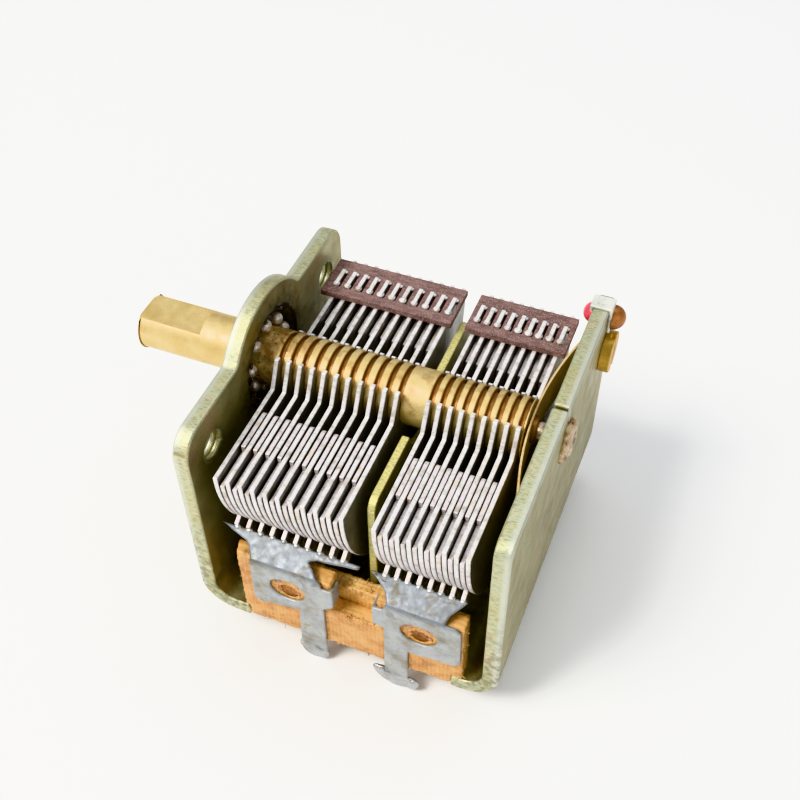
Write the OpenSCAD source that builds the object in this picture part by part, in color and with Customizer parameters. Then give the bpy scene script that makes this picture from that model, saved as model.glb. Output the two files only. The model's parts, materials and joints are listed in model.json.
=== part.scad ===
// Two-gang variable tuning capacitor.
// X runs along the shaft from the front plate to the rear plate, Y runs across the frame
// and Z is up. The origin is on the shaft axis, on the outer face of the front plate.
// The rotor is drawn fully meshed with the stators.

/* [Frame] */
// Length over the front and rear plates
frame_length = 35; // [34.6:0.1:37]
// Width across the frame
frame_width = 37.4; // [37.2:0.2:42]
// Thickness of the bent sheet
sheet = 1.8; // [1.6:0.1:2]
// Depth from the shaft axis to the underside
axis_height = 22.8; // [22.2:0.2:26]
// Outside radius of the two bends
bend_r = 4; // [3:0.5:5]
// Height of the front plate's shoulders above the axis
front_top = 4.9; // [4:0.1:6]
// Radius of the front plate's middle lobe
lobe_r = 8.8; // [8:0.1:10]
// Height of the rear plate above the axis
rear_top = 4.4; // [4:0.1:5]
// Spacing of the two tapped holes in the front plate
hole_spacing = 28; // [26:0.5:30]
// Radius of each tapped hole
hole_r = 1.65; // [1.25:0.05:2]

/* [Shaft] */
// Radius of the tuning shaft
shaft_r = 3; // [2.9:0.05:3.1]
// Length of shaft in front of the front plate
shaft_reach = 13.8; // [10:0.2:20]
// Length of the flat, from the shaft's tip
flat_length = 7.9; // [5:0.1:9]
// Height of the flat above the axis
flat_height = 2.2; // [1.5:0.1:2.6]
// Radius of the rotor's barrel
barrel_r = 3.2; // [3.2:0.05:3.4]
// Radius at the bottom of each plate groove
groove_r = 2.6; // [2.4:0.05:2.8]

/* [Plates] */
// Thickness of every plate
plate_t = 0.5; // [0.4:0.05:0.5]
// Outer radius of the plates
plate_r = 17.8; // [17:0.1:17.9]
// Rotor plates in the front gang
plates_a = 11; // [5:1:11]
// Rotor plates in the rear gang
plates_b = 9; // [5:1:9]
// Spacing of the front gang's rotor plates
pitch_a = 1.37; // [1.3:0.01:1.37]
// Spacing of the rear gang's rotor plates
pitch_b = 1.2; // [1.15:0.01:1.2]
// Middle of the first rotor plate in the front gang
first_a = 4; // [3.8:0.05:4.1]
// Middle of the first rotor plate in the rear gang
first_b = 21.1; // [21:0.05:21.2]
// Radius of the opening at the middle of each stator plate
stator_inner_r = 7.6; // [6.5:0.1:8.5]
// Distance from the axis to the step in a stator plate's upper edge
stator_step = 13; // [12:0.1:14]
// Drop at that step
stator_drop = 0.9; // [0.6:0.1:1.2]

/* [Insulation] */
// Thickness of the fibre comb strips
comb_t = 0.75; // [0.6:0.05:0.75]
// Inner edge of the comb strips
comb_inner = 10.8; // [10.8:0.1:11.5]
// Outer edge of the comb strips
comb_outer = 16.7; // [16:0.1:17]
// Thickness of the outer insulating board
board_t = 2; // [1.8:0.1:2.1]
// Thickness of the inner insulating strip
strip_t = 1.7; // [1.5:0.1:1.8]
// Depth of the outer board's shoulders below the axis
shoulder_top = 11.3; // [11.2:0.1:12]
// Depth of the outer board's waist below the axis
waist_top = 16.2; // [15.8:0.1:16.6]
// Depth of the inner strip's upper edge below the axis
strip_top = 13.8; // [13.7:0.1:14]

/* [Bearings] */
// Balls in the front bearing
balls = 9; // [6:1:12]
// Radius of each ball
ball_r = 0.75; // [0.7:0.01:0.75]
// Radius of the ball race
race_r = 4.775; // [4.77:0.001:4.8]
// Running clearance around the rotor's journal in the front plate
journal_gap = 0.06; // [0.03:0.01:0.09]
// Radius of the thrust ball at the rear
thrust_r = 1; // [0.8:0.05:1]
// How much the race opens out towards the plate's inner face
race_flare = 0.95; // [0:0.05:1.5]

/* [Hidden] */
$fn = 96;
slack = 0.02;
half_width = frame_width / 2;
rear_inner = frame_length - sheet;
floor_z = sheet - axis_height;
edge_z = 0.1;
screen_t = 0.9;
screen_x = 19.35;
screen_half = 14.4;
screen_top = -1;
stators_a = plates_a - 1;
stators_b = plates_b - 1;

// rotor plate tabs that stand up through the combs
tab_y = 13.4;
tab_width = 2.6;
tab_top = edge_z + comb_t + 0.4;
tab_gap = 0.2;

// boards, brackets and rivets along the near edge, mirrored for the far edge
board_out = half_width - 0.1;
board_mid = board_out - board_t;
board_in = board_mid - strip_t;
board_low = -axis_height + 0.2;
cut_start = 5.8;
cut_end = 29.8;
board_start = 4.6;
board_end = 31;
strip_end = 30.5;
waist_start = 16.2;
waist_end = 21.4;
bracket_t = 0.4;
blade_angle = 30;
blade_in = plate_r + 1;
blade_out = (board_out + bracket_t) / cos(blade_angle);
fold_z = 0.05 - blade_out * sin(blade_angle);
lug_low = -26.6;
window_z = -14.4;
window_r = 1.7;
window_half = 0.35;
window_a = 11.2;
window_b = 26.2;
hook_back = 1.5;
hook_low = -14.8;
hook_high = -12;
rivet_z = -15.2;
rivet_r = 0.7;
rivet_head_r = 1;
lip_t = sheet;
lip_width = 5;
lip_top = rivet_z + 1.8;

// both ends of the shaft
race_x = 1.05;
tip_chamfer = 0.4;
// Not on a real shaft: keeps the round part's wall a separate face from the milled part's
round_relief = 0.01;
journal_start = 0.3;
barrel_end = 31.2;
ball_x = 32.3;
spigot_r = 1.35;
spring_t = 0.25;
spring_low = -2.6;
spring_high = 2;
foot_low = -3.2;
foot_high = 1.2;
screw_y = 15.5;
screw_z = -1.6;
screw_head_r = 2.4;
screw_core_r = 1.1;
tag_y = 16.4;
tag_width = 2;
tag_t = 0.35;
tag_rivet_z = 2.7;
tag_rivet_r = 0.8;
rivet_dome_r = 1.4;
seal_r = 1.2;
thrust_screw_r = 2;

function plate_x(first, pitch, i) = first + (i - 1) * pitch;
function stator_x(first, pitch, i) = first + (i - 0.5) * pitch;
function polar(r, a) = [r * cos(a), r * sin(a)];

// A flat shape drawn in Y and Z, made thick along X about the middle x
module slab(x, t) {
    translate([x - t / 2, 0, 0]) rotate([90, 0, 90]) linear_extrude(t) children();
}

// A flat shape drawn in X and Z, made thick along Y from y0 to y1
module wall(y0, y1) {
    translate([0, y1, 0]) rotate([90, 0, 0]) linear_extrude(y1 - y0) children();
}

// A round bar along X
module bar(x0, x1, r) {
    translate([x0, 0, 0]) rotate([0, 90, 0]) cylinder(h = x1 - x0, r = r);
}

// A round bar along Y
module pin_y(x, y0, y1, z, r) {
    translate([x, y0, z]) rotate([-90, 0, 0]) cylinder(h = y1 - y0, r = r);
}

module box(x0, x1, y0, y1, z0, z1) {
    translate([x0, y0, z0]) cube([x1 - x0, y1 - y0, z1 - z0]);
}

// Everything on the far side is the near side's mirror image
module far_side() {
    mirror([0, 1, 0]) children();
}

module both_sides() {
    children();
    far_side() children();
}

// ---- frame ----

// A rectangle whose two upper corners are round
module plate_outline(top, corner) {
    low = -axis_height - 1;
    translate([-half_width, low]) square([frame_width, top - corner - low]);
    translate([-half_width + corner, low]) square([frame_width - 2 * corner, top - low]);
    for (side = [-1, 1]) translate([side * (half_width - corner), top - corner]) circle(corner);
}

// The round inside corner where the middle lobe meets a shoulder
module lobe_fillet(fillet) {
    centre = [sqrt(pow(lobe_r + fillet, 2) - pow(front_top + fillet, 2)), front_top + fillet];
    touch = centre * lobe_r / (lobe_r + fillet);
    difference() {
        polygon([[centre[0], front_top - 0.5], centre, touch, touch * 0.8]);
        translate(centre) circle(fillet);
    }
}

module front_outline() {
    plate_outline(front_top, 3);
    circle(lobe_r);
    lobe_fillet(1.2);
    mirror([1, 0]) lobe_fillet(1.2);
}

// The bent sheet seen from the side, with the radius of its lower corners
module bend_outline(inset, r) {
    low = inset - axis_height;
    high = lobe_r + 1 + inset;
    translate([inset, low + r]) square([frame_length - 2 * inset, high - low - r]);
    translate([inset + r, low]) square([frame_length - 2 * inset - 2 * r, r + 1]);
    for (x = [inset + r, frame_length - inset - r]) translate([x, low + r]) circle(r);
}

module bent_sheet() {
    wall(-half_width, half_width) difference() {
        bend_outline(0, bend_r);
        bend_outline(sheet, bend_r - sheet);
    }
}

// Upright ears inside the cut-outs, which carry the insulating boards
module lips() {
    both_sides() for (x = [window_a, window_b])
        box(x - lip_width / 2, x + lip_width / 2, -board_in, lip_t - board_in, -axis_height, lip_top);
}

module chassis() {
    color([0.62, 0.60, 0.42]) difference() {
        union() {
            intersection() {
                bent_sheet();
                union() {
                    slab(4.5, 11) front_outline();
                    slab(frame_length / 2, frame_length - 20) plate_outline(0, 1);
                    slab(frame_length - 4.5, 11) plate_outline(rear_top, 1.8);
                }
            }
            lips();
        }
        bar(-1, sheet + 1, barrel_r + journal_gap);
        bar(0.25, sheet + 1, race_r);
        translate([race_x, 0, 0]) rotate([0, 90, 0])
            cylinder(h = sheet - race_x, r1 = race_r, r2 = race_r + race_flare);
        for (side = [-1, 1])
            translate([0, side * hole_spacing / 2, 0]) bar(-1, sheet + 1, hole_r);
        bar(rear_inner - 1, frame_length + 1, thrust_screw_r);
        box(rear_inner - 1, frame_length + 1, -0.2, 0.2, 0, rear_top + 1);
        both_sides() {
            box(cut_start, cut_end, -half_width - 1, -board_in, -axis_height - 1, floor_z + 1);
            for (x = [window_a, window_b])
                pin_y(x, -board_out - 1, -board_in + lip_t + 1, rivet_z, rivet_r);
            box(screen_x - screen_t / 2, screen_x + screen_t / 2, -9, -5, -axis_height - 1, floor_z + 1);
        }
        translate([0, screw_y, screw_z]) bar(rear_inner - 1, frame_length + 1, screw_core_r);
        translate([0, tag_y, tag_rivet_z]) bar(rear_inner - 1, frame_length + 1, tag_rivet_r);
    }
}

module screen_plate() {
    color([0.75, 0.71, 0.48]) slab(screen_x, screen_t) {
        difference() {
            union() {
                translate([-screen_half, floor_z]) square([2 * screen_half, screen_top - floor_z - 1.5]);
                translate([1.5 - screen_half, floor_z])
                    square([2 * screen_half - 3, screen_top - floor_z]);
                for (side = [-1, 1])
                    translate([side * (screen_half - 1.5), screen_top - 1.5]) circle(1.5);
            }
            circle(4.9);
            translate([-4.9, 0]) square([9.8, 5]);
        }
        for (y = [-9, 5]) translate([y, -axis_height]) square([4, sheet + 0.1]);
    }
}

// ---- rotor ----

module rotor_shaft() {
    color([0.80, 0.65, 0.38]) difference() {
        union() {
            bar(tip_chamfer - shaft_reach, flat_length - shaft_reach, shaft_r);
            bar(flat_length - shaft_reach, 0, shaft_r - round_relief);
            translate([-shaft_reach, 0, 0]) rotate([0, 90, 0])
                cylinder(h = tip_chamfer + 0.01, r1 = shaft_r - tip_chamfer, r2 = shaft_r);
            bar(-journal_start, barrel_end, barrel_r);
            bar(barrel_end - 0.1, ball_x - 0.3, spigot_r);
        }
        box(-shaft_reach - 1, flat_length - shaft_reach, -shaft_r - 1, shaft_r + 1,
            flat_height, shaft_r + 1);
        for (i = [1:plates_a]) plate_groove(plate_x(first_a, pitch_a, i));
        for (i = [1:plates_b]) plate_groove(plate_x(first_b, pitch_b, i));
        translate([ball_x, 0, 0]) sphere(thrust_r + 0.05);
    }
}

module plate_groove(x) {
    difference() {
        bar(x - plate_t / 2, x + plate_t / 2, barrel_r + 1);
        bar(x - plate_t, x + plate_t, groove_r);
    }
}

// Half disc with a slot for the barrel, a horn on the near side and a staked tab on the far side
module rotor_plate(x) {
    slot_r = groove_r + slack;
    color([0.86, 0.86, 0.84]) difference() {
        union() {
            slab(x, plate_t) difference() {
                circle(plate_r);
                translate([-20, edge_z]) square([40, 20]);
            }
            slab(x, plate_t) polygon([[-5.4, -1], [-3.2, 3.05], [-2.2, 3.05], [-2, -1]]);
            slab(x, plate_t) polygon([[4.8, -1], [2.9, 1.9], [2.3, 2.1], [2, -1]]);
            slab(x, plate_t) translate([tab_y - tab_width / 2, -1]) square([tab_width, tab_top + 1]);
        }
        bar(x - 1, x + 1, slot_r);
        box(x - 1, x + 1, -slot_r, slot_r, 0, 5);
    }
}

module comb(x0, x1, first, pitch, count) {
    color([0.52, 0.41, 0.39]) difference() {
        box(x0, x1, comb_inner, comb_outer, edge_z, edge_z + comb_t);
        for (i = [1:count]) translate([plate_x(first, pitch, i), tab_y, 0])
            box(-plate_t / 2, plate_t / 2 + tab_gap, -tab_width / 2, tab_width / 2, 0, tab_top);
    }
}

module comb_a() {
    comb(2.6, screen_x - 0.8, first_a, pitch_a, plates_a);
}

module comb_b() {
    comb(screen_x + 0.8, 31.7, first_b, pitch_b, plates_b);
}

module bearing_balls() {
    orbit = (barrel_r + race_r) / 2;
    color([0.75, 0.75, 0.77]) for (i = [0:balls - 1])
        rotate([i * 360 / balls + 6, 0, 0]) translate([race_x, orbit, 0]) sphere(ball_r, $fn = 48);
}

// ---- stators ----

// Half ring with round inner ends, a stepped upper edge and a tab on each side
module stator_outline() {
    arm = 0.7;
    difference() {
        intersection() {
            circle(plate_r);
            translate([-20, -20]) square([40, 20]);
        }
        circle(stator_inner_r);
        translate([-20, -stator_drop]) square([20 - stator_step, 2]);
        translate([0, -stator_drop]) square([20, 2]);
        translate([-stator_inner_r - arm, -arm]) square(2 * arm);
    }
    translate([-stator_inner_r - arm, -arm]) circle(arm);
    for (turn = [-blade_angle, 180 + blade_angle])
        rotate(turn) translate([plate_r - 1, -0.9]) square([blade_in - plate_r + 1, 1.8]);
}

module stator_plate(x) {
    color([0.84, 0.84, 0.82]) slab(x, plate_t) stator_outline();
}

// ---- insulation and stator brackets ----

// Takes away the part of a board that would stand in the base beside the cut-outs
module clear_base() {
    difference() {
        children();
        box(0, cut_start, -half_width, 0, -axis_height, floor_z + slack);
        box(cut_end, frame_length, -half_width, 0, -axis_height, floor_z + slack);
    }
}

module near_board() {
    color([0.85, 0.62, 0.36]) clear_base() difference() {
        translate([0, 0, board_low]) linear_extrude(-shoulder_top - board_low) polygon([
            [board_start, -board_mid], [board_start + 0.8, -board_out],
            [board_end, -board_out], [board_end, -board_mid]]);
        box(waist_start, waist_end, -half_width, -board_mid + 1, -waist_top, 0);
        for (x = [window_a, window_b]) {
            pin_y(x, -board_out - 1, -board_in + 1, rivet_z, rivet_r);
            pin_y(x, -board_out - 1, 0.6 - board_out, rivet_z, rivet_head_r);
        }
    }
}

module near_strip() {
    color([0.70, 0.47, 0.26]) clear_base() difference() {
        box(board_start, strip_end, -board_mid, -board_in, board_low, -strip_top);
        for (x = [window_a, window_b]) pin_y(x, -board_out - 1, -board_in + 1, rivet_z, rivet_r);
    }
}

// Bent tin plate: a blade under the stator tabs, a face in front of the board with a window
// around the rivet, a hook round the board's shoulder, and a lug to solder a wire to.
// Blade points are X and the distance from the tabs; face points are X and Z.
module bracket(blade, face, window, lug_x, lug_r, hook_x) {
    color([0.70, 0.70, 0.69]) difference() {
        union() {
            rotate([blade_angle, 0, 0]) translate([0, -blade_out, -bracket_t / 2])
                linear_extrude(bracket_t)
                polygon([for (p = blade) [p[0], blade_out - blade_in - p[1]]]);
            wall(-board_out - bracket_t, -board_out) {
                polygon(face);
                translate([lug_x, lug_low + lug_r]) circle(lug_r);
            }
            box(hook_x, hook_x + bracket_t, -board_out - bracket_t, hook_back - board_out,
                hook_low, hook_high);
        }
        wall(-board_out - 1, -board_out + 1) {
            translate([window - window_half, window_z - window_r])
                square([2 * window_half, 2 * window_r]);
            for (side = [-1, 1])
                translate([window + side * window_half, window_z]) circle(window_r);
        }
    }
}

module near_bracket_a() {
    bracket(
        [[2.5, 0], [18.9, 0], [18.7, 0.5], [14.2, 0.95], [13.3, 1.25], [13.9, 1.7], [15, 3],
         [7.2, 3], [6.6, 1.7], [6.1, 1.25], [4, 0.55]],
        [[7.05, fold_z], [15.2, fold_z], [15.3, hook_high], [waist_start + bracket_t, hook_high],
         [waist_start + bracket_t, hook_low], [15.4, hook_low - 1], [15.3, -25], [12.1, -25],
         [12.4, -17.5], [7.5, -18.5], [6.9, -17.8]],
        window_a, 13.7, 1.6, waist_start);
}

module near_bracket_b() {
    bracket(
        [[19.9, 0], [30.7, 0], [30.1, 0.8], [29.3, 1.9], [28.9, 3], [22.7, 3], [22.1, 1.7],
         [21.2, 0.9], [20.5, 0.4]],
        [[22.4, fold_z], [29.1, fold_z], [30.3, fold_z], [30.8, -11.6], [30.9, -17.2], [30.2, -18],
         [25, -18.5], [25, -25], [22.2, -25], [22.3, hook_low - 0.4],
         [waist_end - bracket_t, hook_low], [waist_end - bracket_t, hook_high],
         [22.3, hook_high + 0.2]],
        window_b, 23.6, 1.4, waist_end - bracket_t);
}

// Rivets through the lips and boards, with heads sunk inside the brackets' windows
module board_rivets() {
    color([0.45, 0.33, 0.20]) both_sides() for (x = [window_a, window_b]) {
        pin_y(x, 0.1 - board_out, -board_in + lip_t + 0.5, rivet_z, rivet_r);
        pin_y(x, 0.1 - board_out, 0.6 - board_out, rivet_z, rivet_head_r);
        pin_y(x, -board_in + lip_t, -board_in + lip_t + 0.5, rivet_z, rivet_head_r);
    }
}

// ---- rear end ----

// Bowed strip from the rear plate's far side, round the spigot and back to the near side
module wiper_spring() {
    foot = 12.6;
    rise = rear_inner - spring_t - barrel_end - 0.03;
    chord = foot + 10.5;
    bow_r = (pow(chord / 2, 2) + rise * rise) / (2 * rise);
    middle = [foot - chord / 2, rear_inner - rise + bow_r];
    color([0.86, 0.74, 0.50]) difference() {
        union() {
            translate([0, 0, spring_low]) linear_extrude(spring_high - spring_low) {
                intersection() {
                    translate([middle[1] - spring_t, middle[0]]) difference() {
                        circle(bow_r, $fn = 200);
                        circle(bow_r - spring_t, $fn = 200);
                    }
                    translate([barrel_end - 1, foot - chord]) square([rear_inner - barrel_end + 1, chord]);
                }
            }
            box(rear_inner - spring_t, rear_inner, foot - 0.3, foot + 5.1, foot_low, foot_high);
        }
        bar(barrel_end - 1, rear_inner, spigot_r + 0.15);
        translate([0, screw_y, screw_z]) bar(rear_inner - 1, rear_inner + 1, screw_core_r);
    }
}

module spring_screw() {
    color([0.78, 0.62, 0.32]) translate([0, screw_y, screw_z]) difference() {
        union() {
            bar(rear_inner - spring_t - 0.4, frame_length + 0.1, screw_core_r);
            bar(frame_length, frame_length + 1.2, screw_head_r);
            bar(rear_inner - spring_t - 0.4, rear_inner - spring_t, 1.5);
        }
        box(frame_length + 0.6, frame_length + 2, -0.3, 0.3, -3, 3);
    }
}

module thrust_screw() {
    color([0.55, 0.48, 0.38]) difference() {
        bar(rear_inner - 0.25, frame_length + 0.5, thrust_screw_r);
        translate([ball_x, 0, 0]) sphere(thrust_r + slack);
        box(frame_length, frame_length + 1, -0.3, 0.3, -3, 3);
    }
}

module thrust_ball() {
    color([0.72, 0.72, 0.74]) translate([ball_x, 0, 0]) sphere(thrust_r);
}

// Tinned strip hooked over the rear plate's upper edge
module earth_tag() {
    y0 = tag_y - 1.3;
    color([0.80, 0.80, 0.78]) difference() {
        union() {
            box(rear_inner - tag_t, rear_inner, y0, y0 + tag_width, tag_rivet_z + 1.2, rear_top);
            box(rear_inner - tag_t, frame_length + tag_t, y0, y0 + tag_width, rear_top, rear_top + tag_t);
            box(frame_length, frame_length + tag_t, y0, y0 + tag_width, tag_rivet_z - 1.4, rear_top);
        }
        translate([0, tag_y, tag_rivet_z]) bar(frame_length - 1, frame_length + 1, tag_rivet_r);
    }
}

module earth_rivet() {
    color([0.60, 0.36, 0.20]) translate([0, tag_y, tag_rivet_z]) {
        bar(rear_inner, frame_length + tag_t + 0.1, tag_rivet_r);
        intersection() {
            bar(frame_length + tag_t, frame_length + tag_t + 2, rivet_dome_r);
            translate([frame_length + tag_t, 0, 0]) sphere(rivet_dome_r);
        }
    }
}

// Drop of red lacquer that locks the rivet's inner end
module lacquer_seal() {
    color([0.85, 0.30, 0.35]) translate([rear_inner, tag_y, tag_rivet_z]) intersection() {
        bar(-2, 0, seal_r);
        sphere(seal_r);
    }
}

chassis();
screen_plate();
rotor_shaft();
comb_a();
comb_b();
bearing_balls();
near_board();
near_strip();
far_side() near_board();  // far_board
far_side() near_strip();  // far_strip
near_bracket_a();
near_bracket_b();
far_side() near_bracket_a();  // far_bracket_a
far_side() near_bracket_b();  // far_bracket_b
board_rivets();
wiper_spring();
spring_screw();
thrust_screw();
thrust_ball();
earth_tag();
earth_rivet();
lacquer_seal();
for (i = [1:plates_a])
    rotor_plate(plate_x(first_a, pitch_a, i));
for (i = [1:plates_b])
    rotor_plate(plate_x(first_b, pitch_b, i));
for (i = [1:stators_a])
    stator_plate(stator_x(first_a, pitch_a, i));
for (i = [1:stators_b])
    stator_plate(stator_x(first_b, pitch_b, i));
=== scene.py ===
import json
import math
import random

import bmesh
import bpy
from mathutils import Euler, Matrix, Vector


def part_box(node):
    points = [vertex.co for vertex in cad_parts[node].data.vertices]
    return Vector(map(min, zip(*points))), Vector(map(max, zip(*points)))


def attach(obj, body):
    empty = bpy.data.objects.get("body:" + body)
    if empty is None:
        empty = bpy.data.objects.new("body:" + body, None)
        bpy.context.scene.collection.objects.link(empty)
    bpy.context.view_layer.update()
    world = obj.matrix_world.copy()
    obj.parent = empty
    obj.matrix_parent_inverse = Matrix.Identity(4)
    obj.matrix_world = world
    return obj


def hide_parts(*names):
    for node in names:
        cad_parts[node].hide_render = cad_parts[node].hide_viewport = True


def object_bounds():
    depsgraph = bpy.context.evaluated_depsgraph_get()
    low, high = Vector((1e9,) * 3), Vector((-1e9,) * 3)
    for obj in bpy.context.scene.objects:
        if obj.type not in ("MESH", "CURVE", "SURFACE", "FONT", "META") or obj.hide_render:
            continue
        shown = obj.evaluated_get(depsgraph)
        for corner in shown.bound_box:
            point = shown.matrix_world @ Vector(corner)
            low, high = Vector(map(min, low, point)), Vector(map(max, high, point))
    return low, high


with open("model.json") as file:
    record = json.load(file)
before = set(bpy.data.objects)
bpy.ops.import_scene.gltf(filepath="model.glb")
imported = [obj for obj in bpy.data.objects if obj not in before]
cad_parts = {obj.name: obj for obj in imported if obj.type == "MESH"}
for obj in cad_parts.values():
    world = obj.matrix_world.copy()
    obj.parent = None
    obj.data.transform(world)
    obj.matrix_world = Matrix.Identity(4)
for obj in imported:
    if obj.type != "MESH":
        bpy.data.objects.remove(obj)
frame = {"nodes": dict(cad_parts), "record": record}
cadLow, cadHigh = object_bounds()
nodes = frame["nodes"]
mounts = {mount["name"]: mount for mount in frame["record"]["mounts"]}
mm = 0.001
weldGap = 0.001 * mm
print("frame loaded:", len(nodes), "nodes")


# ---- small helpers for finishes ----

def tint(red, green, blue):
    # a paint-chart colour, 0 to 255, as the linear values that shaders want
    share = [value / 255 for value in (red, green, blue)]
    return tuple(v / 12.92 if v <= 0.04045 else ((v + 0.055) / 1.055) ** 2.4 for v in share)


def startFinish(name, sockets):
    finish = bpy.data.materials.new(name)
    finish.use_nodes = True
    shader = finish.node_tree.nodes["Principled BSDF"]
    for socket, value in sockets.items():
        shader.inputs[socket].default_value = value
    return finish, finish.node_tree, shader


def add(tree, kind, **settings):
    node = tree.nodes.new("ShaderNode" + kind)
    for key, value in settings.items():
        setattr(node, key, value)
    return node


def feed(tree, socket, value):
    if isinstance(value, bpy.types.NodeSocket):
        tree.links.new(value, socket)
    elif isinstance(value, tuple):
        socket.default_value = (*value, 1)
    else:
        socket.default_value = value


def stretched(tree, stretch=(1, 1, 1), turn=(0, 0, 0)):
    coords = add(tree, "TexCoord")
    mapping = add(tree, "Mapping")
    mapping.inputs["Rotation"].default_value = turn
    mapping.inputs["Scale"].default_value = stretch
    tree.links.new(coords.outputs["Object"], mapping.inputs["Vector"])
    return mapping.outputs["Vector"]


def along(tree, axis):
    # one object coordinate, in metres
    coords = add(tree, "TexCoord")
    split = add(tree, "SeparateXYZ")
    tree.links.new(coords.outputs["Object"], split.inputs["Vector"])
    return split.outputs[axis]


def grain(tree, size, stretch=(1, 1, 1), detail=4.0, warp=0.0):
    noise = add(tree, "TexNoise")
    tree.links.new(stretched(tree, stretch), noise.inputs["Vector"])
    noise.inputs["Scale"].default_value = 1 / size
    noise.inputs["Detail"].default_value = detail
    noise.inputs["Distortion"].default_value = warp
    return noise.outputs["Fac"]


def levels(tree, value, low, high, toLow=0.0, toHigh=1.0):
    node = add(tree, "MapRange")
    feed(tree, node.inputs["Value"], value)
    for socket, limit in (("From Min", low), ("From Max", high), ("To Min", toLow), ("To Max", toHigh)):
        node.inputs[socket].default_value = limit
    return node.outputs["Result"]


def ramp(tree, value, stops):
    band = add(tree, "ValToRGB")
    elements = band.color_ramp.elements
    elements.remove(elements[1])
    elements[0].position, elements[0].color = stops[0][0], (*stops[0][1], 1)
    for at, colour in stops[1:]:
        elements.new(at).color = (*colour, 1)
    feed(tree, band.inputs["Fac"], value)
    return band.outputs["Color"]


def blend(tree, share, first, second, how="MIX"):
    node = add(tree, "Mix", data_type="RGBA", blend_type=how)
    feed(tree, node.inputs[0], share)
    feed(tree, node.inputs[6], first)
    feed(tree, node.inputs[7], second)
    return node.outputs[2]


def reckon(tree, how, first, second=0.0):
    node = add(tree, "Math", operation=how)
    feed(tree, node.inputs[0], first)
    feed(tree, node.inputs[1], second)
    return node.outputs[0]


def times(tree, first, second):
    return reckon(tree, "MULTIPLY", first, second)


def relief(tree, shader, height, depth):
    node = add(tree, "Bump")
    node.inputs["Distance"].default_value = depth
    feed(tree, node.inputs["Height"], height)
    tree.links.new(node.outputs["Normal"], shader.inputs["Normal"])


def workedMetal(name, look):
    # blotches of colour, small specks and drawn lines, all sized in millimetres
    finish, tree, shader = startFinish(name, {"Metallic": look["metal"]})
    cloud = grain(tree, look["blotch"] * mm, detail=5)
    colour = ramp(tree, cloud, look["tones"])
    fine = grain(tree, look["speck"] * mm, look["streak"], detail=3)
    edge = look["speckFrom"]
    share = times(tree, levels(tree, fine, edge, edge + 0.07), look["speckShare"])
    colour = blend(tree, share, colour, look["speckTone"])
    lowRough, highRough = look["rough"]
    rough = levels(tree, grain(tree, look["blotch"] * 0.3 * mm), 0.3, 0.7, lowRough, highRough)
    feed(tree, shader.inputs["Roughness"], rough)
    lines = grain(tree, look["line"] * mm, look["streak"], detail=6)
    relief(tree, shader, lines, look["depth"] * mm)
    feed(tree, shader.inputs["Base Color"], colour)
    return finish, tree, shader, colour


def bearingGrease(tree, outer, inner):
    # a ragged ring of old grease on the front plate's inner side
    axisWay = add(tree, "VectorMath", operation="LENGTH")
    tree.links.new(stretched(tree, (0, 1, 1)), axisWay.inputs[0])
    ragged = times(tree, grain(tree, 1.1 * mm, detail=6), 5 * mm)
    reach = reckon(tree, "ADD", axisWay.outputs["Value"], ragged)
    nearRing = levels(tree, reach, outer * mm, inner * mm)
    inFront = levels(tree, along(tree, "X"), 4 * mm, 3 * mm)
    inside = levels(tree, along(tree, "X"), 0.5 * mm, 0.9 * mm)
    return times(tree, times(tree, nearRing, inFront), inside)


# ---- finishes ----

zinc = {
    "metal": 0.75, "blotch": 5, "speck": 0.22, "streak": (1, 1, 1), "line": 0.16, "depth": 0.02,
    "tones": [(0.28, tint(134, 124, 86)), (0.44, tint(150, 141, 100)), (0.54, tint(156, 152, 112)),
              (0.64, tint(164, 152, 110)), (0.76, tint(168, 144, 118))],
    "speckFrom": 0.56, "speckShare": 0.28, "speckTone": tint(100, 90, 60), "rough": (0.34, 0.54),
}
zincFace, tree, shader, colour = workedMetal("zincFace", zinc)
# grease thrown round the bearing, and dirt mixed with painted shade darkening the lower inside faces
greased = bearingGrease(tree, 10.6, 7.2)
# painted shade and dirt: the inside faces of the sheet are painted darker towards the bottom
low = levels(tree, along(tree, "Z"), -9 * mm, -20 * mm)
lowShadeAndDirt = times(tree, low, levels(tree, grain(tree, 2.5 * mm, detail=6), 0.38, 0.6))
pastFront = levels(tree, along(tree, "X"), 1.5 * mm, 1.8 * mm)
within = times(tree, pastFront, levels(tree, along(tree, "X"), 33.5 * mm, 33.2 * mm))
shadeAndDirt = times(tree, times(tree, lowShadeAndDirt, within), 0.6)
colour = blend(tree, shadeAndDirt, colour, tint(64, 54, 30))
colour = blend(tree, greased, colour, tint(38, 26, 12))
feed(tree, shader.inputs["Base Color"], colour)

rim = dict(zinc, metal=0.55, streak=(0.35, 1.6, 1.6), speck=0.2, line=0.14, depth=0.035,
           tones=[(0.28, tint(154, 152, 118)), (0.44, tint(180, 176, 136)), (0.56, tint(176, 180, 150)),
                  (0.66, tint(188, 180, 144)), (0.78, tint(182, 166, 138))],
           speckFrom=0.52, speckShare=0.6, speckTone=tint(134, 128, 90), rough=(0.32, 0.52))
zincRim, tree, shader, colour = workedMetal("zincRim", rim)
# the shear's burnished band lies along the outer third of the rim
fromMiddle = reckon(tree, "ABSOLUTE", reckon(tree, "SUBTRACT", along(tree, "X"), 17.5 * mm))
burnished = levels(tree, fromMiddle, 16.7 * mm, 17.0 * mm)
colour = blend(tree, times(tree, burnished, 0.8), colour, tint(186, 188, 174))
low = levels(tree, along(tree, "Z"), -6 * mm, -16 * mm)
mossy = times(tree, low, levels(tree, grain(tree, 0.7 * mm, detail=6), 0.45, 0.6))
colour = blend(tree, times(tree, mossy, 0.75), colour, tint(112, 112, 84))
colour = blend(tree, bearingGrease(tree, 9.6, 8.6), colour, tint(38, 26, 12))
feed(tree, shader.inputs["Base Color"], colour)

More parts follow.
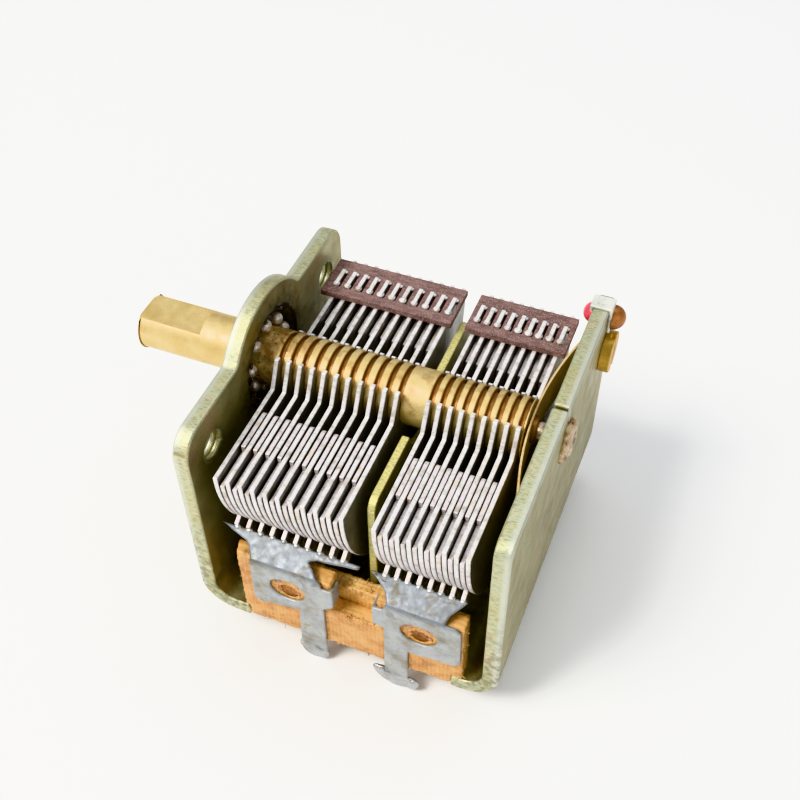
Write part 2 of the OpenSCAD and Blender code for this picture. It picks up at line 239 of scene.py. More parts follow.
screenSheet = workedMetal("screenSheet", dict(
    zinc, tones=[(0.3, tint(150, 142, 92)), (0.55, tint(184, 176, 118)), (0.75, tint(170, 160, 120))],
    rough=(0.32, 0.5)))[0]
screenRim = workedMetal("screenRim", dict(
    rim, tones=[(0.3, tint(206, 196, 128)), (0.6, tint(216, 208, 140)), (0.8, tint(190, 186, 130))]))[0]

aluminium = {
    "metal": 0.85, "blotch": 3, "speck": 0.12, "streak": (1, 1, 1), "line": 0.09, "depth": 0.006,
    "tones": [(0.3, tint(140, 138, 132)), (0.6, tint(164, 162, 156)), (0.8, tint(150, 146, 140))],
    "speckFrom": 0.56, "speckShare": 0.5, "speckTone": tint(104, 100, 94), "rough": (0.34, 0.5),
}
plateFace = workedMetal("plateFace", aluminium)[0]
plateRim = workedMetal("plateRim", dict(
    aluminium, metal=0.4, speck=0.3, depth=0.05, streak=(0.6, 1, 1), blotch=1.3, line=0.16,
    tones=[(0.25, tint(178, 168, 156)), (0.4, tint(206, 202, 198)), (0.55, tint(226, 224, 224)),
           (0.68, tint(214, 206, 196)), (0.8, tint(196, 180, 168))],
    speckFrom=0.57, speckShare=0.4, speckTone=tint(150, 142, 134), rough=(0.36, 0.58)))[0]
statorRim = workedMetal("statorRim", dict(
    aluminium, metal=0.4, speck=0.3, depth=0.05, streak=(0.6, 1, 1), blotch=1.5, line=0.16,
    tones=[(0.25, tint(172, 158, 146)), (0.4, tint(204, 196, 192)), (0.55, tint(222, 214, 218)),
           (0.68, tint(208, 196, 176)), (0.8, tint(196, 184, 190))],
    speckFrom=0.56, speckShare=0.45, speckTone=tint(146, 134, 126), rough=(0.36, 0.58)))[0]

brass = {
    "metal": 0.62, "blotch": 3, "speck": 0.14, "streak": (6, 0.5, 0.5), "line": 0.3, "depth": 0.012,
    "tones": [(0.28, tint(198, 170, 110)), (0.46, tint(214, 188, 128)), (0.6, tint(222, 200, 142)),
              (0.76, tint(208, 176, 118))],
    "speckFrom": 0.55, "speckShare": 0.45, "speckTone": tint(156, 126, 74), "rough": (0.34, 0.54),
}
shaftBrass, tree, shader, colour = workedMetal("shaftBrass", brass)
# old grease darkens the barrel's grooves to orange brown
fromAxis = add(tree, "VectorMath", operation="LENGTH")
tree.links.new(stretched(tree, (0, 1, 1)), fromAxis.inputs[0])
inGroove = levels(tree, fromAxis.outputs["Value"], 3.17 * mm, 2.98 * mm)
onBarrel = levels(tree, along(tree, "X"), 0.5 * mm, 1.5 * mm)
stain = times(tree, times(tree, inGroove, onBarrel), 0.9)
patchy = levels(tree, grain(tree, 1.4 * mm, detail=5), 0.5, 0.66)
stain = reckon(tree, "MAXIMUM", stain, times(tree, times(tree, patchy, onBarrel), 0.5))
colour = blend(tree, stain, colour, tint(132, 84, 36))
# the front collar has gone orange brown, with black specks of old grease
nearBearing = levels(tree, along(tree, "X"), 9 * mm, 1.5 * mm)
mottle = levels(tree, grain(tree, 0.9 * mm, detail=8, warp=0.5), 0.42, 0.6)
colour = blend(tree, times(tree, times(tree, nearBearing, mottle), times(tree, onBarrel, 0.85)),
               colour, tint(140, 92, 48))
flecks = levels(tree, grain(tree, 0.45 * mm, detail=4), 0.6, 0.66)
colour = blend(tree, times(tree, times(tree, nearBearing, flecks), onBarrel), colour, tint(50, 30, 14))
feed(tree, shader.inputs["Base Color"], colour)

springBrass = workedMetal("springBrass", dict(
    brass, streak=(1, 0.4, 3), tones=[(0.3, tint(206, 172, 116)), (0.6, tint(232, 206, 154)),
    (0.8, tint(214, 176, 122))]))[0]
screwBrass = workedMetal("screwBrass", dict(
    brass, streak=(1, 1, 1), tones=[(0.3, tint(176, 136, 62)), (0.6, tint(214, 176, 90)),
    (0.8, tint(190, 140, 66))]))[0]
screwSteel = workedMetal("screwSteel", dict(
    aluminium, tones=[(0.3, tint(120, 100, 74)), (0.5, tint(168, 152, 118)), (0.7, tint(146, 110, 76))],
    speckTone=tint(92, 52, 30), speckShare=0.7, depth=0.03, rough=(0.4, 0.6)))[0]
ballSteel = workedMetal("ballSteel", dict(
    aluminium, metal=0.45, blotch=0.6, speck=0.16,
    tones=[(0.3, tint(150, 126, 98)), (0.5, tint(198, 188, 172)), (0.7, tint(216, 210, 200))],
    speckFrom=0.6, speckTone=tint(120, 84, 48), speckShare=0.5, rough=(0.2, 0.38)))[0]
copper = workedMetal("copper", dict(
    brass, streak=(1, 1, 1), tones=[(0.3, tint(122, 78, 44)), (0.55, tint(168, 112, 66)),
    (0.75, tint(190, 136, 88))],
    speckTone=tint(74, 40, 20)))[0]
tinned = {
    "metal": 0.4, "blotch": 2.4, "speck": 0.45, "streak": (1, 1, 1), "line": 0.5, "depth": 0.03,
    "tones": [(0.28, tint(124, 120, 106)), (0.42, tint(150, 150, 144)), (0.55, tint(160, 164, 168)),
              (0.66, tint(166, 167, 158)), (0.78, tint(142, 136, 108))],
    "speckFrom": 0.58, "speckShare": 0.28, "speckTone": tint(116, 108, 84), "rough": (0.4, 0.6),
}
tinnedPlate, tree, shader, colour = workedMetal("tinnedPlate", tinned)
# flux and dirt left along the blades' upper sides, with the blades' upward faces painted a darker blue-grey
# as painted shade
flux = levels(tree, grain(tree, 1.5 * mm, detail=8, warp=0.8), 0.55, 0.64)
# painted shade: the upward-facing blades are painted a darker blue-grey to tone down the key light they
# catch
paintedBladeShade = levels(tree, along(tree, "Z"), -11.6 * mm, -10.8 * mm)
colour = blend(tree, times(tree, paintedBladeShade, 0.72), colour, tint(104, 110, 118))
fluxShare = levels(tree, along(tree, "Z"), -13.5 * mm, -10.5 * mm, 0.15, 0.6)
colour = blend(tree, times(tree, flux, fluxShare), colour, tint(98, 84, 56))
feed(tree, shader.inputs["Base Color"], colour)
solder = workedMetal("solder", dict(
    tinned, metal=0.7, speck=0.2, depth=0.02,
    tones=[(0.3, tint(132, 132, 128)), (0.5, tint(168, 170, 170)), (0.7, tint(184, 186, 184))],
    rough=(0.26, 0.46)))[0]
tinnedTag = workedMetal("tinnedTag", dict(
    tinned, tones=[(0.3, tint(196, 196, 186)), (0.6, tint(220, 220, 212)), (0.8, tint(206, 200, 180))]))[0]


def plainFinish(name, look):
    # dull or glossy things that aren't metal
    finish, tree, shader = startFinish(name, look["sockets"])
    colour = ramp(tree, grain(tree, look["blotch"] * mm, look["stretch"], detail=6), look["tones"])
    fine = grain(tree, look["speck"] * mm, detail=3)
    edge = look["speckFrom"]
    share = times(tree, levels(tree, fine, edge, edge + 0.08), look["speckShare"])
    colour = blend(tree, share, colour, look["speckTone"])
    feed(tree, shader.inputs["Base Color"], colour)
    lowRough, highRough = look["rough"]
    feed(tree, shader.inputs["Roughness"], levels(tree, fine, 0.3, 0.7, lowRough, highRough))
    relief(tree, shader, fine, look["depth"] * mm)
    return finish, tree, shader, colour


fibre = plainFinish("combFibre", {
    "sockets": {"IOR": 1.5}, "blotch": 0.6, "stretch": (0.5, 1.6, 1), "speck": 0.14,
    "tones": [(0.3, tint(84, 62, 58)), (0.5, tint(112, 84, 80)), (0.7, tint(130, 102, 96))],
    "speckFrom": 0.56, "speckShare": 0.8, "speckTone": tint(180, 158, 150), "rough": (0.6, 0.85),
    "depth": 0.08})[0]
lacquer = plainFinish("redLacquer", {
    "sockets": {"IOR": 1.5, "Coat Weight": 0.6, "Coat Roughness": 0.15}, "blotch": 0.9,
    "stretch": (1, 1, 1), "speck": 0.3,
    "tones": [(0.3, tint(190, 48, 66)), (0.6, tint(222, 84, 96)), (0.8, tint(236, 120, 124))],
    "speckFrom": 0.7, "speckShare": 0.3, "speckTone": tint(244, 170, 160), "rough": (0.25, 0.45),
    "depth": 0.03})[0]
grease = plainFinish("oldGrease", {
    "sockets": {"IOR": 1.47, "Coat Weight": 0.8, "Coat Roughness": 0.12}, "blotch": 0.8,
    "stretch": (1, 1, 1), "speck": 0.25,
    "tones": [(0.3, tint(22, 13, 7)), (0.55, tint(44, 27, 13)), (0.75, tint(86, 56, 26))],
    "speckFrom": 0.68, "speckShare": 0.3, "speckTone": tint(120, 84, 44), "rough": (0.18, 0.4),
    "depth": 0.06})[0]
varnish = plainFinish("amberVarnish", {
    "sockets": {"IOR": 1.52, "Coat Weight": 0.7, "Coat Roughness": 0.1}, "blotch": 0.7,
    "stretch": (1, 1, 1), "speck": 0.22,
    "tones": [(0.25, tint(92, 48, 18)), (0.5, tint(160, 98, 42)), (0.75, tint(206, 152, 82))],
    "speckFrom": 0.66, "speckShare": 0.5, "speckTone": tint(226, 190, 130), "rough": (0.2, 0.45),
    "depth": 0.06})[0]


sealing = plainFinish("threadSealing", {
    "sockets": {"IOR": 1.5, "Coat Weight": 0.4, "Coat Roughness": 0.2}, "blotch": 1.2,
    "stretch": (1, 1, 1), "speck": 0.3,
    "tones": [(0.32, tint(92, 50, 30)), (0.45, tint(168, 136, 96)), (0.62, tint(206, 184, 142)),
    (0.8, tint(190, 160, 116))],
    "speckFrom": 0.64, "speckShare": 0.5, "speckTone": tint(108, 60, 36), "rough": (0.3, 0.55),
    "depth": 0.06})[0]


def laminateFinish(name, look):
    # woven cloth in resin: threads on the broad faces, layers on the cut edges
    finish, tree, shader = startFinish(name, {"IOR": 1.53, "Coat Weight": 0.12, "Coat Roughness": 0.3})
    base = ramp(tree, grain(tree, 1.6 * mm, (1, 1, 1.3), detail=6), look["tones"])
    waves = []
    for axis in "XZ":
        wave = add(tree, "TexWave", bands_direction=axis, wave_profile="SIN")
        tree.links.new(stretched(tree), wave.inputs["Vector"])
        wave.inputs["Scale"].default_value = 0.31416 / (look["thread"] * mm)
        wave.inputs["Distortion"].default_value = 1.2
        wave.inputs["Detail"].default_value = 2
        waves.append(wave.outputs["Fac"])
    weave = reckon(tree, "MAXIMUM", waves[0], waves[1])
    layer = grain(tree, 0.3 * mm, (0.05, 1, 0.08), detail=3)
    normal = add(tree, "SeparateXYZ")
    tree.links.new(add(tree, "TexCoord").outputs["Normal"], normal.inputs["Vector"])
    broad = levels(tree, reckon(tree, "ABSOLUTE", normal.outputs["Y"]), 0.6, 0.8)
    colour = blend(tree, times(tree, levels(tree, weave, 0.75, 0.2), 0.34), base, look["shade"])
    cutEdge = blend(tree, times(tree, levels(tree, layer, 0.42, 0.6), 0.6), base, look["cut"])
    colour = blend(tree, broad, cutEdge, colour)
    burnt = levels(tree, grain(tree, 2.2 * mm, detail=6, warp=0.6), 0.56, 0.68)
    colour = blend(tree, times(tree, burnt, 0.5), colour, look["dark"])
    feed(tree, shader.inputs["Base Color"], colour)
    feed(tree, shader.inputs["Roughness"], levels(tree, base, 0.1, 0.6, 0.62, 0.4))
    relief(tree, shader, reckon(tree, "ADD", weave, layer), 0.03 * mm)
    return finish


boardLaminate = laminateFinish("boardLaminate", {
    "thread": 0.46, "tones": [(0.3, tint(176, 122, 62)), (0.5, tint(200, 146, 80)),
    (0.7, tint(212, 164, 98))],
    "shade": tint(132, 82, 38), "cut": tint(226, 190, 126), "dark": tint(128, 76, 34)})
stripLaminate = laminateFinish("stripLaminate", {
    "thread": 0.46, "tones": [(0.3, tint(180, 124, 62)), (0.5, tint(214, 164, 96)),
    (0.7, tint(232, 192, 124))],
    "shade": tint(140, 86, 40), "cut": tint(240, 206, 144), "dark": tint(104, 62, 28)})
rivetBrown = workedMetal("rivetBrown", dict(
    brass, metal=0.6, streak=(1, 1, 1), speck=0.2, depth=0.05,
    tones=[(0.3, tint(112, 68, 32)), (0.55, tint(168, 112, 56)), (0.75, tint(200, 150, 88))],
    speckTone=tint(70, 38, 16), speckShare=0.6))[0]
print("finishes made:", len(bpy.data.materials))


# ---- helpers for pieces ----

def newPiece(name, mesh, body, finishes):
    for finish in finishes:
        mesh.materials.append(finish)
    piece = bpy.data.objects.new(name, mesh)
    bpy.context.scene.collection.objects.link(piece)
    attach(piece, body)
    return piece


def settle(piece, place=None):
    # applies the stack, then the place, so that the piece sits at the origin
    graph = bpy.context.evaluated_depsgraph_get()
    made = bpy.data.meshes.new_from_object(piece.evaluated_get(graph))
    piece.modifiers.clear()
    piece.data = made
    if place is not None:
        made.transform(place)


def weldedCopy(nodeName, joined=True):
    source = nodes[nodeName].data
    mesh = bpy.data.meshes.new(nodeName + "_welded")
    mesh.from_pydata([v.co[:] for v in source.vertices], [], [p.vertices[:] for p in source.polygons])
    shape = bmesh.new()
    shape.from_mesh(mesh)
    bmesh.ops.remove_doubles(shape, verts=shape.verts, dist=weldGap)
    if joined:
        bmesh.ops.dissolve_limit(shape, angle_limit=math.radians(0.8), verts=shape.verts, edges=shape.edges)
    for face in shape.faces:
        face.smooth = True
    shape.to_mesh(mesh)
    shape.free()
    return mesh


def addBevel(piece, width, segments, finishIndex=-1):
    bevel = piece.modifiers.new("soft edges", "BEVEL")
    bevel.width = width * mm
    bevel.segments = segments
    bevel.limit_method = "ANGLE"
    bevel.angle_limit = math.radians(32)
    bevel.use_clamp_overlap = False
    bevel.harden_normals = True
    bevel.material = finishIndex
    return bevel


def finishedCopy(nodeName, pieceName, body, finishes, bevelWidth, segments=2, pick=None,
        joined=True):
    # the CAD shape with its edges broken, standing for its node
    mesh = weldedCopy(nodeName, joined)
    if pick:
        for face in mesh.polygons:
            face.material_index = pick(face)
    piece = newPiece(pieceName, mesh, body, finishes)
    addBevel(piece, bevelWidth, segments, 1 if pick else -1)
    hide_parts(nodeName)
    return piece


def rumple(piece, strength, size, name):
    # an uneven surface from a clouds texture
    cloud = bpy.data.textures.new(name, "CLOUDS")
    cloud.noise_scale = size * mm
    cloud.noise_depth = 3
    displace = piece.modifiers.new("uneven", "DISPLACE")
    displace.texture = cloud
    displace.texture_coords = "LOCAL"
    displace.strength = strength * mm
    displace.mid_level = 0.5


def lumps(name, spots, finish, body, uneven, size, smooth=1, melt=0):
    # a mass of rounded lumps: each is a centre, three radii and a turn about X, in millimetres
    shape = bmesh.new()
    for centre, radii, turn in spots:
        made = bmesh.ops.create_icosphere(shape, subdivisions=2, radius=1.0)
        place = (Matrix.Translation(Vector(centre) * mm) @ Euler(turn).to_matrix().to_4x4()
                 @ Matrix.Diagonal((radii[0] * mm, radii[1] * mm, radii[2] * mm, 1)))
        bmesh.ops.transform(shape, matrix=place, verts=made["verts"])
    for face in shape.faces:
        face.smooth = True
    mesh = bpy.data.meshes.new(name)
    shape.to_mesh(mesh)
    shape.free()
    piece = newPiece(name, mesh, body, [finish])
    if melt:
        voxels = piece.modifiers.new("one mass", "REMESH")
        voxels.mode = "VOXEL"
        voxels.voxel_size = melt * mm
        voxels.use_smooth_shade = True
        flow = piece.modifiers.new("flowed", "SMOOTH")
        flow.factor = 0.8
        flow.iterations = 6
    if smooth:
        finer = piece.modifiers.new("finer", "SUBSURF")
        finer.levels = smooth
        finer.render_levels = smooth
    rumple(piece, uneven, size, name + "Clouds")
    return piece


def turned(name, profile, steps, place, finish, body, extra=None):
    # a turned shape about X: profile points are radius and height, top to bottom, in millimetres
    mesh = bpy.data.meshes.new(name)
    points = [(radius * mm, 0, height * mm) for radius, height in profile]
    mesh.from_pydata(points, [(i, i + 1) for i in range(len(points) - 1)], [])
    piece = newPiece(name, mesh, body, [finish])
    screw = piece.modifiers.new("turned", "SCREW")
    screw.steps = steps
    screw.render_steps = steps
    screw.use_merge_vertices = True
    screw.merge_threshold = 0.002 * mm
    screw.use_smooth_shade = True
    if extra:
        extra(piece)
    settle(piece, place @ Matrix.Rotation(math.radians(90), 4, "Y"))
    return piece


def centreOf(nodeName):
    low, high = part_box(nodeName)
    return (low + high) / 2


# ---- bent sheet and screen ----

chassis = {"bevel": 0.26, "sides": 18.5 * mm, "rimFrom": -17.5 * mm, "lipTop": -13.3 * mm,
    "lipOut": 15.5 * mm}


def chassisSide(face):
    # 1 for a sheared rim, 0 for the sheet's broad faces
    normal, centre = face.normal, face.center
    if abs(normal.y) > 0.9:
        return 1 if abs(centre.y) > chassis["sides"] else 0
    isLip = abs(centre.y) < chassis["lipOut"] and abs(centre.y) > 12 * mm and centre.z < chassis["lipTop"]
    if abs(normal.x) < 0.3 and centre.z > chassis["rimFrom"] and not isLip:
        return 1
    return 0


finishedCopy("chassis", "bent_sheet", "frame", [zincFace, zincRim], chassis["bevel"], 3,
    chassisSide)
finishedCopy("screen_plate", "screen", "frame", [screenSheet, screenRim], 0.16, 2,
             lambda face: 0 if abs(face.normal.x) > 0.9 else 1)
print("bent sheet and screen done")

thread = {"pitch": 0.7, "turns": 2.2, "root": 1.72, "crest": 1.42, "half": 0.32, "start": 0.12, "steps": 26}


def tappedThread(name, side):
    # one helical ridge inside a tapped hole
    mesh = bpy.data.meshes.new(name)
    half, root, crest = thread["half"] * mm, thread["root"] * mm, thread["crest"] * mm
    mesh.from_pydata([(root, 0, half), (crest, 0, 0.05 * mm), (crest, 0, -0.05 * mm), (root, 0, -half)],
                     [(0, 1), (1, 2), (2, 3), (3, 0)], [])
    piece = newPiece(name, mesh, "frame", [zincRim])
    screw = piece.modifiers.new("helix", "SCREW")
    screw.angle = math.radians(360 * thread["turns"])
    screw.screw_offset = thread["pitch"] * thread["turns"] * mm
    screw.steps = int(thread["steps"] * thread["turns"])
    screw.render_steps = screw.steps
    screw.use_merge_vertices = False
    spacing = mounts["front_holes"]["dims"]["spacing_x_mm"] * mm
    place = Matrix.Translation((thread["start"] * mm, side * spacing / 2,
        0)) @ Matrix.Rotation(math.radians(90), 4, "Y")
    settle(piece, place)
    shape = bmesh.new()
    shape.from_mesh(piece.data)
    bmesh.ops.holes_fill(shape, edges=shape.edges, sides=6)
    bmesh.ops.recalc_face_normals(shape, faces=shape.faces)
    shape.to_mesh(piece.data)
    shape.free()


tappedThread("near_thread", -1)
tappedThread("far_thread", 1)
print("tapped threads done")

# ---- plates ----

plates = {"bevel": 0.1, "segments": 2, "flat": 0.9}


def plateSide(face):
    return 0 if abs(face.normal.x) > plates["flat"] else 1


for nodeName in sorted(nodes):
    if nodeName.startswith("rotor_plate"):
        finishedCopy(nodeName, nodeName.replace("rotor_plate", "vane"), "rotor",
                     [plateFace, plateRim], plates["bevel"], plates["segments"], plateSide)
    if nodeName.startswith("stator_plate"):
        finishedCopy(nodeName, nodeName.replace("stator_plate", "leaf"), "frame",
                     [plateFace, statorRim], plates["bevel"], plates["segments"], plateSide)
print("plates done")

tabs = {
    "near": 12.4, "far": 14.45, "height": 0.96, "nearShift": 0.04, "farShift": 0.14,
    "head": (0.44, 0.42, 0.24), "hook": (0.42, 0.24, 0.2), "hookTurn": 0.4, "uneven": 0.06, "seed": 4,
}
spots = []
chance = random.Random(tabs["seed"])
headLong, headWide, headTall = tabs["head"]
for nodeName in sorted(nodes):
    if nodeName.startswith("rotor_plate"):
        x = centreOf(nodeName).x / mm
        swell = chance.uniform(0.92, 1.1)
        head = (x - tabs["nearShift"], tabs["near"], tabs["height"])
        hook = (x + tabs["farShift"], tabs["far"], tabs["height"])
        spots.append((head, (headLong * swell, headWide * swell, headTall), (0, 0, 0)))
        spots.append((hook, tabs["hook"], (0, 0, tabs["hookTurn"])))
lumps("staked_tabs", spots, plateRim, "rotor", tabs["uneven"], 0.5, 0)
print("staked tabs done")

# ---- combs ----

for letter in "ab":
    finishedCopy("comb_" + letter, "fibre_comb_" + letter, "rotor", [fibre], 0.09, 2)

# ---- shaft, bearing ----

shaft = {"bevel": 0.17, "stepX": -5.9, "stepSpan": 0.02, "outer": 2.9}
brassShaft = finishedCopy("rotor_shaft", "brass_shaft", "rotor", [shaftBrass],
    shaft["bevel"], 3)
# the hair's breadth of relief behind the milled flat stays crisp, so that it doesn't show
shape = bmesh.new()
shape.from_mesh(brassShaft.data)
weight = shape.edges.layers.float.new("bevel_weight_edge")
for edge in shape.edges:
    atStep = all(abs(v.co.x - shaft["stepX"] * mm) < shaft["stepSpan"] * mm for v in edge.verts)
    outside = all(math.hypot(v.co.y, v.co.z) > shaft["outer"] * mm for v in edge.verts)
    if atStep and outside:
        edge.smooth = False
    elif len(edge.link_faces) == 2 and edge.calc_face_angle() > math.radians(32):
        edge[weight] = 1
shape.to_mesh(brassShaft.data)
shape.free()
brassShaft.modifiers["soft edges"].limit_method = "WEIGHT"

bearing = {"orbit": 3.99, "x": 0.55, "thick": 0.42, "steps": 60, "uneven": 0.5}
ringProfile = [(bearing["orbit"] + bearing["thick"] * math.cos(a) * 1.25, bearing["thick"] * math.sin(a))
               for a in [math.radians(90 - 30 * i) for i in range(13)]]


def oozing(piece):
    rumple(piece, bearing["uneven"], 0.9, "greaseClouds")


turned("bearing_grease", ringProfile, bearing["steps"], Matrix.Translation((bearing["x"] * mm, 0, 0)),
    grease, "frame", oozing)
smear = {"x": 1.8, "radii": (0.16, 0.5, 0.75), "uneven": 0.2, "melt": 0.09}
smearDeep, smearTall, smearWide = smear["radii"]
smears = []
for angle, far, size in ((200, 5.4, 1.1), (214, 5.6, 1.3), (232, 5.5, 1.1), (182, 5.3, 0.7),
    (150, 5.4, 0.6),
                         (118, 5.4, 0.5), (96, 5.5, 0.5), (252, 5.4, 1.0), (274, 5.3, 0.8), (60, 5.4, 0.6)):
    turn = math.radians(angle)
    centre = (smear["x"], far * math.cos(turn), far * math.sin(turn))
    smears.append((centre, (smearDeep, smearTall * size, smearWide * size), (turn, 0, 0)))
lumps("bearing_smears", smears, grease, "frame", smear["uneven"], 0.6, 0, smear["melt"])
print("shaft and bearing done")

# ---- insulating boards and brackets ----

laminate = {"bevel": 0.22, "voxel": 0.17, "uneven": 0.3, "size": 0.45}
tinSheet = {"bevel": 0.12, "voxel": 0.13, "uneven": 0.1, "size": 1.6}

for side in ("near", "far"):
    for slotName, finish in (("board", boardLaminate), ("strip", stripLaminate)):
        nodeName = side + "_" + slotName
        piece = finishedCopy(nodeName, nodeName + "_laminate", "frame", [finish],
            laminate["bevel"], 2)
        voxels = piece.modifiers.new("even skin", "REMESH")
        voxels.mode = "VOXEL"
        voxels.voxel_size = laminate["voxel"] * mm
        voxels.use_smooth_shade = True
        rumple(piece, laminate["uneven"], laminate["size"], nodeName + "Clouds")
        settle(piece)
    for letter in "ab":
        nodeName = side + "_bracket_" + letter
        piece = finishedCopy(nodeName, side + "_tin_" + letter, "frame", [tinnedPlate],
                              tinSheet["bevel"], 2)
        voxels = piece.modifiers.new("even skin", "REMESH")
        voxels.mode = "VOXEL"
        voxels.voxel_size = tinSheet["voxel"] * mm
        voxels.use_smooth_shade = True
        rumple(piece, tinSheet["uneven"], tinSheet["size"], nodeName + "Clouds")
        settle(piece)
print("boards and brackets done")

fray = {"thick": 0.05, "short": 0.25, "long": 0.7, "kinks": 3, "seed": 12, "corners": (0, 2.1, 4.2)}


def frayedThreads(name, runs, finish):
    # loose threads along cut edges: each run has a start, an end, a spread and a count, in millimetres
    chance = random.Random(fray["seed"])
    shape = bmesh.new()
    for start, end, spread, count in runs:
        for _ in range(count):
            at = Vector(start).lerp(Vector(end), chance.random())
            at += Vector([chance.uniform(-w, w) for w in spread])
            way = Vector((chance.uniform(-1, 1), chance.uniform(-0.5, 0.5),
                chance.uniform(-0.25, 0.35))).normalized()
            step = chance.uniform(fray["short"], fray["long"]) / fray["kinks"]
            rings = []
            for _ in range(fray["kinks"] + 1):
                out = way.orthogonal().normalized() * fray["thick"]
                over = way.cross(out)
                corners = [at + out * math.cos(a) + over * math.sin(a) for a in fray["corners"]]
                rings.append([shape.verts.new(corner * mm) for corner in corners])
                at = at + way * step
                way = (way + Vector([chance.uniform(-0.3, 0.3) for _ in range(3)])).normalized()
            for first, second in zip(rings, rings[1:]):
                for i in range(3):
                    shape.faces.new((first[i], first[i - 1], second[i - 1], second[i]))
            shape.faces.new(rings[0])
            shape.faces.new(rings[-1][::-1])
    for face in shape.faces:
        face.smooth = True
    bmesh.ops.recalc_face_normals(shape, faces=shape.faces)
    mesh = bpy.data.meshes.new(name)
    shape.to_mesh(mesh)
    shape.free()
    newPiece(name, mesh, "frame", [finish])


for side, sign in (("near", -1), ("far", 1)):
    frayedThreads(side + "_frayed_threads", [
        ((5.2, sign * 17.4, -13.7), (6.8, sign * 17.6, -21), (0.3, 1.0, 0.2), 50),
        ((16.6, sign * 16.1, -13.8), (21.2, sign * 16.1, -13.8), (0.3, 0.8, 0.08), 60),
        ((16.8, sign * 18.5, -16.2), (21.2, sign * 18.5, -16.2), (0.3, 0.15, 0.1), 40),
        ((7, sign * 18.5, -22.3), (30.5, sign * 18.5, -22.3), (0.3, 0.15, 0.12), 40),
        ((30.8, sign * 18.3, -12), (30.8, sign * 18.3, -21), (0.1, 0.2, 0.3), 40)], stripLaminate)
print("frayed threads done")

for nodeName, pieceName, slotName, finish, width in (
        ("board_rivets", "lacquered_rivets", "rivet", rivetBrown, 0.12),
        ("spring_screw", "slotted_screw", "screw_brass", screwBrass, 0.12),
        ("thrust_screw", "thrust_stud", "screw_steel", screwSteel, 0.12),
        ("earth_tag", "edge_tag", "tinned_tag", tinnedTag, 0.14)):
    finishedCopy(nodeName, pieceName, "frame", [finish], width, 3)
finishedCopy("wiper_spring", "bowed_spring", "frame", [springBrass], 0.04, 1, None, False)
for nodeName, finish in (("bearing_balls", ballSteel), ("thrust_ball", ballSteel),
        ("earth_rivet", copper), ("lacquer_seal", lacquer)):
    nodes[nodeName].data.materials.clear()
    nodes[nodeName].data.materials.append(finish)
print("rear end done")

# ---- solder ----

joint = {"reach": 18.95, "angle": math.radians(30), "lift": 0.12, "radii": (0.48, 0.42, 0.26), "tip": 0.5}
jointLong, jointWide, jointTall = joint["radii"]
lug = {"out": 18.85, "places": ((13.7, 0.85), (23.6, 1.35)), "uneven": 0.4, "melt": 0.12}
pool = {
    "places": (11.2, 26.2), "out": 18.5, "z": -14.4, "radii": (0.8, 0.22, 0.62),
    "spots": ((-1.15, 0.75, 0.75), (0.95, 0.85, 0.6), (1.2, -0.5, 0.55), (-1.1, -0.7, 0.6),
    (0.1, 1.2, 0.7)),
}
poolWide, poolDeep, poolTall = pool["radii"]
for side, sign in (("near", -1), ("far", 1)):
    spots = []
    chance = random.Random(7)
    for nodeName in sorted(nodes):
        if nodeName.startswith("stator_plate"):
            x = centreOf(nodeName).x / mm
            y = sign * joint["reach"] * math.cos(joint["angle"])
            z = -joint["reach"] * math.sin(joint["angle"]) + joint["lift"]
            size = chance.uniform(0.85, 1.15)
            centre = (x + chance.uniform(-0.05, 0.05), y, z)
            radii = (jointLong * size, jointWide * size, jointTall * size)
            spots.append((centre, radii, (-sign * joint["tip"], 0, 0)))
    lumps(side + "_solder_joints", spots, solder, "frame", 0.12, 0.5, 1)
    lugs = []
    for x, wide in lug["places"]:
        y = sign * lug["out"]
        lugs.append(((x, y, -25.1), (1.75 * wide, 0.42, 1.3), (0, 0, 0)))
        lugs.append(((x - 1.1 * wide, y, -24.5), (1.1 * wide, 0.4, 0.9), (0, 0.3, 0)))
        lugs.append(((x + 1.1 * wide, y, -25.2), (1.0 * wide, 0.46, 1.0), (0, -0.2, 0)))
    lumps(side + "_lug_solder", lugs, solder, "frame", lug["uneven"], 1.0, 0, lug["melt"])
    pools = []
    for x in pool["places"]:
        for dx, dz, wide in pool["spots"]:
            centre = (x + dx, sign * pool["out"], pool["z"] + dz)
            pools.append((centre, (poolWide * wide, poolDeep, poolTall * wide), (0, dx, 0)))
    lumps(side + "_window_varnish", pools, varnish, "frame", 0.3, 0.5, 1)
print("solder done")

seal = {"x": 35.1, "radii": (0.7, 1.4, 1.2), "uneven": 0.4, "melt": 0.12}
sealDeep, sealTall, sealWide = seal["radii"]
swelling = []
for angle, far, size in ((0, 1.1, 1.0), (48, 1.35, 0.7), (110, 0.9, 1.15), (170, 1.3, 0.8),
    (215, 1.5, 0.9), (262, 1.0, 1.1),
                         (318, 1.4, 0.75)):
    turn = math.radians(angle)
    centre = (seal["x"], far * math.cos(turn), far * math.sin(turn))
    swelling.append((centre, (sealDeep, sealTall * size, sealWide * size), (turn, 0, 0)))
lumps("thrust_sealing", swelling, sealing, "frame", seal["uneven"], 0.8, 0, seal["melt"])

wire = {"radius": 0.07, "points": ((20.6, -16.55, -9.35), (20.9, -17.3, -8.3), (21.5, -17.7, -8.1),
    (22.0, -17.3, -9.0))}
line = bpy.data.curves.new("whisker", "CURVE")
line.dimensions = "3D"
line.bevel_depth = wire["radius"] * mm
line.bevel_resolution = 2
spline = line.splines.new("BEZIER")
spline.bezier_points.add(len(wire["points"]) - 1)
for point, at in zip(spline.bezier_points, wire["points"]):
    point.co = Vector(at) * mm
    point.handle_left_type = "AUTO"
    point.handle_right_type = "AUTO"
line.materials.append(solder)
whisker = bpy.data.objects.new("whisker", line)
bpy.context.scene.collection.objects.link(whisker)
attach(whisker, "frame")
print("sealing and whisker done")

# ---- floor, light and camera ----

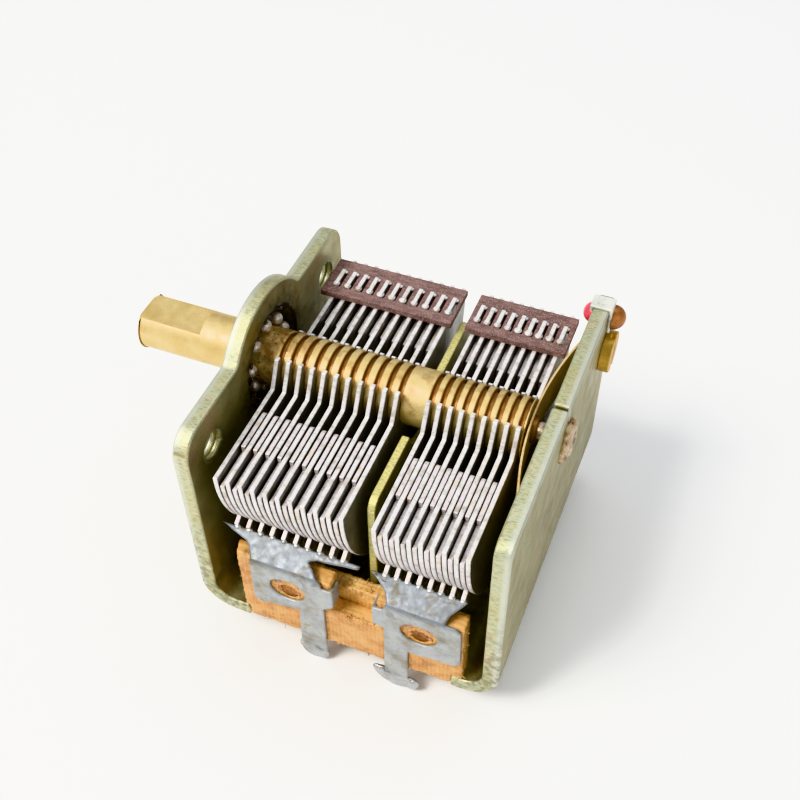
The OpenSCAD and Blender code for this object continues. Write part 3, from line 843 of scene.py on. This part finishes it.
stand = {"size": 1.2, "shade": tint(251, 251, 250)}
shape = bmesh.new()
bmesh.ops.create_grid(shape, x_segments=1, y_segments=1, size=stand["size"])
mesh = bpy.data.meshes.new("floor")
bmesh.ops.translate(shape, verts=shape.verts, vec=(0.0175, 0, cadLow.z))
shape.to_mesh(mesh)
shape.free()
floor = bpy.data.objects.new("floor", mesh)
bpy.context.scene.collection.objects.link(floor)
floorFinish, tree, shader = startFinish("paleFloor", {"Roughness": 0.8})
shader.inputs["Base Color"].default_value = (*stand["shade"], 1)
mesh.materials.append(floorFinish)


def softbox(name, direction, distance, size, power, colour):
    light = bpy.data.lights.new(name, "AREA")
    light.shape = "DISK"
    light.size = size
    light.energy = power
    light.color = colour
    lamp = bpy.data.objects.new(name, light)
    way = Vector(direction).normalized()
    lamp.location = Vector((0.017, 0, -0.005)) + way * distance
    lamp.rotation_mode = "QUATERNION"
    lamp.rotation_quaternion = way.to_track_quat("Z", "Y")
    bpy.context.scene.collection.objects.link(lamp)


softbox("keyLight", (-0.55, -0.6, 1.0), 0.5, 0.24, 3.0, (1.0, 0.98, 0.94))
softbox("topLight", (0.1, 0.35, 1.0), 0.6, 0.4, 1.1, (0.96, 0.98, 1.0))
softbox("rightLight", (1.0, -0.5, 0.45), 0.6, 0.35, 0.5, (1.0, 0.97, 0.92))

world = bpy.data.worlds.new("studio")
world.use_nodes = True
world.node_tree.nodes["Background"].inputs["Color"].default_value = (0.93, 0.95, 1.0, 1)
world.node_tree.nodes["Background"].inputs["Strength"].default_value = 0.5
bpy.context.scene.world = world

view = {"place": (47.335, -74.512, 86.763), "turn": (42.389, 0.950, 22.133), "lens": 50.09,
    "shift": (0.01406, 0.00065)}
lens = bpy.data.cameras.new("camera")
lens.lens = view["lens"]
lens.sensor_width = 36
lens.shift_x, lens.shift_y = view["shift"]
lens.clip_start = 0.005
camera = bpy.data.objects.new("camera", lens)
camera.location = Vector(view["place"]) * mm
camera.rotation_euler = [math.radians(angle) for angle in view["turn"]]
bpy.context.scene.collection.objects.link(camera)
bpy.context.scene.camera = camera
bpy.context.scene.view_settings.view_transform = "Khronos PBR Neutral"
bpy.context.scene.view_settings.look = "None"

print("scene done")
